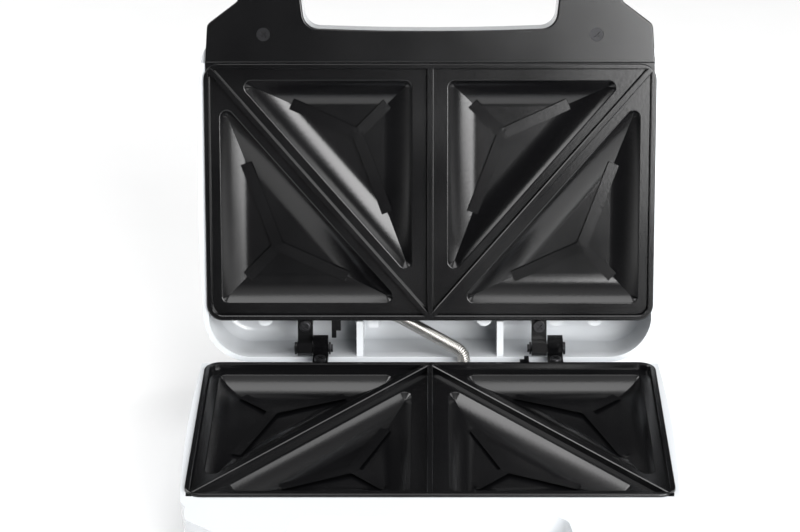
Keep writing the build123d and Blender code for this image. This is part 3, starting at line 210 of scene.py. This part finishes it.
def grain_group():
    """Two noises of a surface: a fine one for bumps and a broad one for colour and gloss."""
    group = bpy.data.node_groups.get("Surface grain")
    if group:
        return group
    group = bpy.data.node_groups.new("Surface grain", "ShaderNodeTree")
    face = group.interface
    for label, value in (("Fine scale", 900.0), ("Broad scale", 18.0), ("Detail", 2.0)):
        socket = face.new_socket(name=label, in_out="INPUT", socket_type="NodeSocketFloat")
        socket.default_value = value
    face.new_socket(name="Fine", in_out="OUTPUT", socket_type="NodeSocketFloat")
    face.new_socket(name="Broad", in_out="OUTPUT", socket_type="NodeSocketFloat")
    nodes, links = group.nodes, group.links
    inputs = nodes.new("NodeGroupInput")
    outputs = nodes.new("NodeGroupOutput")
    place = nodes.new("ShaderNodeTexCoord")
    fine = nodes.new("ShaderNodeTexNoise")
    broad = nodes.new("ShaderNodeTexNoise")
    broad.inputs["Detail"].default_value = BROAD_DETAIL
    links.new(place.outputs["Object"], fine.inputs["Vector"])
    links.new(place.outputs["Object"], broad.inputs["Vector"])
    links.new(inputs.outputs["Fine scale"], fine.inputs["Scale"])
    links.new(inputs.outputs["Detail"], fine.inputs["Detail"])
    links.new(inputs.outputs["Broad scale"], broad.inputs["Scale"])
    links.new(fine.outputs["Fac"], outputs.inputs["Fine"])
    links.new(broad.outputs["Fac"], outputs.inputs["Broad"])
    return group


def finish(name, color, roughness, metallic=0.0, grain=900.0, height=0.00001, mottle=0.12,
           spread=0.08, coat=0.0, coat_roughness=0.1, specular=0.5, transmission=0.0, sheen=0.0):
    """Material whose colour, gloss and bumps all vary a little over the surface."""
    material = bpy.data.materials.get(name)
    if material:
        return material
    material = bpy.data.materials.new(name)
    material.use_nodes = True
    nodes, links = material.node_tree.nodes, material.node_tree.links
    shader = nodes["Principled BSDF"]
    shader.inputs["Metallic"].default_value = metallic
    shader.inputs["Specular IOR Level"].default_value = specular
    shader.inputs["Coat Weight"].default_value = coat
    shader.inputs["Coat Roughness"].default_value = coat_roughness
    shader.inputs["Transmission Weight"].default_value = transmission
    shader.inputs["Sheen Weight"].default_value = sheen
    surface = nodes.new("ShaderNodeGroup")
    surface.node_tree = grain_group()
    surface.inputs["Fine scale"].default_value = grain
    blend = nodes.new("ShaderNodeMix")
    blend.data_type = "RGBA"
    blend.inputs["A"].default_value = [c * (1 - mottle) for c in color] + [1]
    blend.inputs["B"].default_value = [min(c * (1 + mottle), 1) for c in color] + [1]
    links.new(surface.outputs["Broad"], blend.inputs["Factor"])
    links.new(blend.outputs["Result"], shader.inputs["Base Color"])
    gloss = nodes.new("ShaderNodeMapRange")
    gloss.inputs["From Min"].default_value, gloss.inputs["From Max"].default_value = NOISE_SPAN
    gloss.inputs["To Min"].default_value = roughness - spread / 2
    gloss.inputs["To Max"].default_value = roughness + spread / 2
    links.new(surface.outputs["Broad"], gloss.inputs["Value"])
    links.new(gloss.outputs["Result"], shader.inputs["Roughness"])
    bump = nodes.new("ShaderNodeBump")
    bump.inputs["Distance"].default_value = height
    links.new(surface.outputs["Fine"], bump.inputs["Height"])
    links.new(bump.outputs["Normal"], shader.inputs["Normal"])
    return material


def coating():
    look = bpy.context.scene.toaster_plates
    return finish("Non-stick coating", look.coat_color, look.coat_roughness, grain=700.0,
                  height=look.orange_peel, mottle=0.25, spread=0.08)


def shell_plastic():
    look = bpy.context.scene.toaster_housings
    return finish("White moulded plastic", look.shell_color, look.shell_roughness, grain=400.0,
                  height=0.000006, mottle=0.015, spread=0.06, coat=0.25)


def trim_plastic():
    look = bpy.context.scene.toaster_housings
    return finish("Black satin plastic", look.trim_color, look.trim_roughness, grain=1500.0,
                  height=0.000012, mottle=0.2, spread=0.06)


def bright_wire():
    return finish("Bright spring wire", (0.60, 0.585, 0.56), 0.24, metallic=1.0, grain=2500.0,
                  height=0.000004, mottle=0.18, spread=0.12)


def zinc_steel():
    return finish("Zinc-plated steel", (0.58, 0.58, 0.57), 0.32, metallic=1.0, grain=1800.0,
                  height=0.000004, mottle=0.08)


def black_steel():
    return finish("Black screws and pins", (0.020, 0.020, 0.022), 0.36, metallic=0.6,
                  grain=1800.0, height=0.000006, mottle=0.2)


def sheet_aluminium():
    return finish("Mill aluminium sheet", (0.70, 0.71, 0.72), 0.38, metallic=1.0, grain=1200.0,
                  height=0.000003, mottle=0.05)


def heater_steel():
    return finish("Heat-tinted steel", (0.26, 0.24, 0.22), 0.45, metallic=1.0, grain=1500.0,
                  height=0.000006, mottle=0.25)


def cream_plastic():
    return finish("Cream thermoset", (0.68, 0.63, 0.52), 0.5, grain=1200.0, height=0.00001,
                  mottle=0.05)


def foot_rubber():
    return finish("Foot rubber", (0.03, 0.03, 0.03), 0.72, grain=1600.0, height=0.00002,
                  mottle=0.2)


def lens_plastic(name, color):
    return finish(name, color, 0.12, grain=300.0, height=0.000002, mottle=0.05, spread=0.04,
                  coat=0.4, transmission=0.35)


def lamp_glass():
    return finish("Lamp glass", (0.95, 0.80, 0.65), 0.08, grain=300.0, height=0.000001,
                  mottle=0.02, spread=0.02, transmission=0.9)


def lead_sleeve():
    return finish("Glass-fibre sleeve", (0.72, 0.70, 0.64), 0.7, grain=2200.0, height=0.00003,
                  mottle=0.1, sheen=0.3)


# ---------------------------------------------------------------- helpers for meshes

def add_object(name, mesh):
    piece = bpy.data.objects.new(name, mesh)
    bpy.context.scene.collection.objects.link(piece)
    return piece


def dress(node, material):
    """Give a CAD node that keeps its own mesh a better material."""
    piece = frame["nodes"][node]
    if not piece.material_slots:
        piece.data.materials.append(material)
    for slot in piece.material_slots:
        slot.material = material


def open_lid(size):
    """From the lid's own axes, centred on its plate with the food side up, to the open lid."""
    hinge = next(joint for joint in frame["joints"] if joint["name"] == "lid_hinge")["pos_m"]
    lean = size.lean
    turn = Matrix(((-1, 0, 0), (0, -math.sin(lean), -math.cos(lean)),
                   (0, -math.cos(lean), math.sin(lean)))).to_4x4()
    return Matrix.Translation(hinge) @ turn @ Matrix.Translation((0, -size.hinge_back, -size.hinge_rise))


# ---------------------------------------------------------------- operators

class TOASTER_OT_plates(bpy.types.Operator):
    """Coat the two cooking plates"""
    bl_idname = "toaster.plates"
    bl_label = "Cooking plates"

    def execute(self, context):
        for half in ("base", "lid"):
            dress(f"{half}_plate", coating())
        return {"FINISHED"}


class TOASTER_OT_housings(bpy.types.Operator):
    """Finish the white housings and the covers of the base"""
    bl_idname = "toaster.housings"
    bl_label = "Housings"

    def execute(self, context):
        for node in ("lid_housing", "base_housing", "base_handle_cover", "bottom_cover",
                     "conduit_clamp_base", "conduit_clamp_lid"):
            dress(node, shell_plastic())
        return {"FINISHED"}


class TOASTER_OT_handle(bpy.types.Operator):
    """Finish the black frame of the lid's handle and the latch in it, and lay a black strip of painted
    shade in the groove between the frame and the lid's plate
    """
    bl_idname = "toaster.handle"
    bl_label = "Handle frame and latch"

    def painted_shade_strip(self, size):
        """Thin black strip of painted shade that fills the groove between plate and frame as far as the
        plate's rounded corners.
        """
        # Painted shade: a black strip laid under the groove, where there is only shadow, so the groove
        # reads dark
        work = bmesh.new()
        arc_x = size.plate_half_width - size.corner_radius
        arc_y = size.corner_radius - size.plate_half_depth
        reach = size.corner_radius + size.play
        start = work.verts.new((arc_x, arc_y - reach, 0))
        bmesh.ops.spin(work, geom=[start], cent=(arc_x, arc_y, 0), axis=(0, 0, 1), steps=CORNER_STEPS,
                       angle=math.asin((size.shade_strip_half_width - arc_x) / reach))
        arc = sorted(work.verts, key=lambda vert: -vert.co.x)
        front = -size.plate_half_depth - size.groove
        middle = work.verts.new((0, front, 0))
        corner = work.verts.new((size.shade_strip_half_width, front, 0))
        rear = work.verts.new((0, arc_y - reach, 0))
        work.faces.new([middle, corner, *arc, rear])
        bmesh.ops.mirror(work, geom=work.verts[:] + work.edges[:] + work.faces[:], axis="X",
                         merge_dist=MERGE_DISTANCE)
        raised = bmesh.ops.extrude_face_region(work, geom=work.faces[:])["geom"]
        bmesh.ops.translate(work, vec=(0, 0, size.shade_strip_height),
                            verts=[part for part in raised if isinstance(part, bmesh.types.BMVert)])
        bmesh.ops.recalc_face_normals(work, faces=work.faces)
        bmesh.ops.translate(work, verts=work.verts, vec=(0, 0, -size.rim_drop))
        bmesh.ops.transform(work, matrix=open_lid(size), verts=work.verts)
        mesh = bpy.data.meshes.new("frame_tongue")
        work.to_mesh(mesh)
        work.free()
        mesh.materials.append(trim_plastic())
        return add_object("frame_tongue", mesh)

    def execute(self, context):
        # The black strip in the groove is painted shade, not a part of the frame
        painted_shade_strip = self.painted_shade_strip(context.scene.toaster_frame_groove)
        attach(painted_shade_strip, "lid")
        for node in ("handle_frame", "latch"):
            dress(node, trim_plastic())
        dress("handle_frame_screws", black_steel())
        dress("latch_pin", zinc_steel())
        return {"FINISHED"}


class TOASTER_OT_hinges(bpy.types.Operator):
    """Finish the hinge pins, their clips and the screws of the plates"""
    bl_idname = "toaster.hinges"
    bl_label = "Hinges"

    def execute(self, context):
        for node in ("hinge_pin_left", "hinge_pin_right", "hinge_clips", "base_plate_screws",
                     "lid_plate_screws"):
            dress(node, black_steel())
        return {"FINISHED"}


class TOASTER_OT_conduit(bpy.types.Operator):
    """Wind the sprung conduit over the hinge and draw the leads through it"""
    bl_idname = "toaster.conduit"
    bl_label = "Sprung conduit"

    route = ((0.017, 0.0605, 0.029), (0.017, 0.0605, 0.0376), (0.017, 0.0605, 0.047),
             (0.0093, 0.0652, 0.0493), (-0.0116, 0.0781, 0.0555), (-0.018, 0.082, 0.0573),
             (-0.0257, 0.082, 0.0573), (-0.031, 0.082, 0.0573))

    def line(self, bevel):
        """Smooth curve along the route, or a round lead of that radius along it."""
        curve = bpy.data.curves.new("Conduit route", "CURVE")
        curve.dimensions = "3D"
        curve.bevel_depth = bevel
        curve.bevel_resolution = ROUND_STEPS
        curve.use_fill_caps = True
        curve.resolution_u = CURVE_STEPS
        spline = curve.splines.new("NURBS")
        spline.points.add(len(self.route) - 1)
        for point, place in zip(spline.points, self.route):
            point.co = (*place, 1)
        spline.order_u = 3
        spline.use_endpoint_u = True
        return add_object("Conduit route", curve)

    def baked(self, piece, name, material):
        """Mesh of an object with its modifiers applied, in place of the object."""
        context = bpy.context.evaluated_depsgraph_get()
        mesh = bpy.data.meshes.new_from_object(piece.evaluated_get(context))
        bpy.data.objects.remove(piece)
        mesh.materials.clear()
        mesh.materials.append(material)
        for face in mesh.polygons:
            face.use_smooth = True
        return add_object(name, mesh)

    def execute(self, context):
        size = context.scene.toaster_conduit
        path = self.line(0)
        length = path.data.splines[0].calc_length()
        turns = int((length - 2 * size.wire_radius) / size.pitch)
        work = bmesh.new()
        bmesh.ops.create_circle(
            work, segments=WIRE_SIDES, radius=size.wire_radius,
            matrix=Matrix.Translation((size.coil_radius, 0, size.wire_radius))
            @ Matrix.Rotation(math.pi / 2, 4, "X"))
        bmesh.ops.spin(
            work, geom=work.verts[:] + work.edges[:], cent=(0, 0, 0), axis=(0, 0, 1),
            dvec=(0, 0, size.pitch / size.steps), angle=turns * 2 * math.pi,
            steps=turns * size.steps, use_merge=False, use_duplicate=False)
        bmesh.ops.holes_fill(work, edges=[e for e in work.edges if e.is_boundary], sides=0)
        bmesh.ops.recalc_face_normals(work, faces=work.faces)
        mesh = bpy.data.meshes.new("Straight coil")
        work.to_mesh(mesh)
        work.free()
        coil = add_object("Straight coil", mesh)
        bend = coil.modifiers.new("Bend", "CURVE")
        bend.object = path
        bend.deform_axis = "POS_Z"
        conduit = self.baked(coil, "conduit_coil", bright_wire())
        leads = self.baked(self.line(size.leads_radius), "conduit_leads_sleeve", lead_sleeve())
        bpy.data.objects.remove(path)
        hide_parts("wire_conduit")
        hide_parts("conduit_leads")
        for piece in (conduit, leads):
            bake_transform(piece)
        return {"FINISHED"}


class TOASTER_OT_heaters(bpy.types.Operator):
    """Finish the heaters, their clamps, the heat shields and the thermostats"""
    bl_idname = "toaster.heaters"
    bl_label = "Heaters"

    def execute(self, context):
        for half in ("base", "lid"):
            dress(f"{half}_element", heater_steel())
            dress(f"{half}_element_clamps", zinc_steel())
            dress(f"{half}_heat_shield", sheet_aluminium())
            dress(f"{half}_shield_screws", zinc_steel())
        for node in ("thermostat", "thermal_cutout"):
            dress(node, zinc_steel())
        return {"FINISHED"}


class TOASTER_OT_lamps(bpy.types.Operator):
    """Finish the lamps of the lid and their lenses"""
    bl_idname = "toaster.lamps"
    bl_label = "Lamps"

    def execute(self, context):
        dress("power_lamp_lens", lens_plastic("Red lens", (0.55, 0.02, 0.015)))
        dress("ready_lamp_lens", lens_plastic("Green lens", (0.03, 0.38, 0.08)))
        dress("neon_lamps", lamp_glass())
        dress("lamp_holder", cream_plastic())
        return {"FINISHED"}


class TOASTER_OT_underside(bpy.types.Operator):
    """Finish the feet, the screws underneath, the cord gland and the terminal block"""
    bl_idname = "toaster.underside"
    bl_label = "Underside"

    def execute(self, context):
        for side in ("front_left", "front_right", "rear_left", "rear_right"):
            dress(f"foot_{side}", foot_rubber())
        for node in ("bottom_cover_screws", "base_handle_screws"):
            dress(node, zinc_steel())
        dress("cord_gland", trim_plastic())
        dress("terminal_block", cream_plastic())
        return {"FINISHED"}


class TOASTER_OT_stage(bpy.types.Operator):
    """Set the floor, the lights and the camera"""
    bl_idname = "toaster.stage"
    bl_label = "Stage"

    def area(self, name, place, target, size, power):
        """Soft rectangular light that faces its target."""
        light = bpy.data.lights.new(name, "AREA")
        light.shape = "RECTANGLE"
        light.size, light.size_y = size
        light.energy = power
        lamp = bpy.data.objects.new(name, light)
        lamp.location = place
        lamp.rotation_euler = (Vector(target) - Vector(place)).to_track_quat("-Z", "Y").to_euler()
        bpy.context.scene.collection.objects.link(lamp)

    def execute(self, context):
        look = context.scene.toaster_stage
        work = bmesh.new()
        bmesh.ops.create_grid(work, x_segments=FLOOR_SQUARES, y_segments=FLOOR_SQUARES, size=FLOOR_HALF)
        mesh = bpy.data.meshes.new("stage_floor")
        work.to_mesh(mesh)
        work.free()
        floor = add_object("stage_floor", mesh)
        mesh.materials.append(finish("Pale floor", look.floor_color, 0.6, grain=60.0,
                                     height=0.00001, mottle=0.01, spread=0.05, specular=0.2))
        world = bpy.data.worlds.new("Studio")
        context.scene.world = world
        world.use_nodes = True
        nodes, links = world.node_tree.nodes, world.node_tree.links
        background = nodes["Background"]
        background.inputs["Color"].default_value = (1, 1, 1, 1)
        direction = nodes.new("ShaderNodeTexCoord")
        height = nodes.new("ShaderNodeSeparateXYZ")
        rise = nodes.new("ShaderNodeMapRange")
        rise.interpolation_type = "SMOOTHSTEP"
        rise.inputs["From Min"].default_value, rise.inputs["From Max"].default_value = SKY_BAND
        rise.inputs["To Min"].default_value = look.horizon
        rise.inputs["To Max"].default_value = look.sky
        links.new(direction.outputs["Generated"], height.inputs["Vector"])
        links.new(height.outputs["Z"], rise.inputs["Value"])
        links.new(rise.outputs["Result"], background.inputs["Strength"])
        for name, setting, place, target, size in LIGHTS:
            self.area(name, place, target, size, getattr(look, setting))
        context.scene.view_settings.view_transform = "Standard"
        eye = bpy.data.cameras.new("Camera")
        eye.lens = look.lens
        eye.sensor_width = FILM_WIDTH
        eye.shift_x = PICTURE_SHIFT / PICTURE_WIDTH
        camera = bpy.data.objects.new("Camera", eye)
        camera.location = EYE_PLACE
        camera.rotation_euler = (EYE_TILT, 0, 0)
        context.scene.collection.objects.link(camera)
        context.scene.camera = camera
        return {"FINISHED"}


OPERATORS = (TOASTER_OT_plates, TOASTER_OT_housings, TOASTER_OT_handle, TOASTER_OT_hinges,
             TOASTER_OT_conduit, TOASTER_OT_heaters, TOASTER_OT_lamps, TOASTER_OT_underside,
             TOASTER_OT_stage)


class TOASTER_PT_panel(bpy.types.Panel):
    """Buttons for each group of pieces"""
    bl_label = "Sandwich toaster"
    bl_idname = "TOASTER_PT_panel"
    bl_space_type = "VIEW_3D"
    bl_region_type = "UI"
    bl_category = "Toaster"

    def draw(self, context):
        for name, group in SETTINGS.items():
            box = self.layout.box()
            for prop in group.__annotations__:
                box.prop(getattr(context.scene, name), prop)
        for operator in OPERATORS:
            self.layout.operator(operator.bl_idname)


def register():
    for group in SETTINGS.values():
        bpy.utils.register_class(group)
    for operator in OPERATORS:
        bpy.utils.register_class(operator)
    bpy.utils.register_class(TOASTER_PT_panel)
    for name, group in SETTINGS.items():
        setattr(bpy.types.Scene, name, PointerProperty(type=group))


def unregister():
    for name in SETTINGS:
        delattr(bpy.types.Scene, name)
    bpy.utils.unregister_class(TOASTER_PT_panel)
    for operator in reversed(OPERATORS):
        bpy.utils.unregister_class(operator)
    for group in reversed(list(SETTINGS.values())):
        bpy.utils.unregister_class(group)


def main():
    register()
    bpy.ops.toaster.plates()
    bpy.ops.toaster.housings()
    bpy.ops.toaster.handle()
    bpy.ops.toaster.hinges()
    bpy.ops.toaster.conduit()
    bpy.ops.toaster.heaters()
    bpy.ops.toaster.lamps()
    bpy.ops.toaster.underside()
    bpy.ops.toaster.stage()


if __name__ == "__main__":
    main()
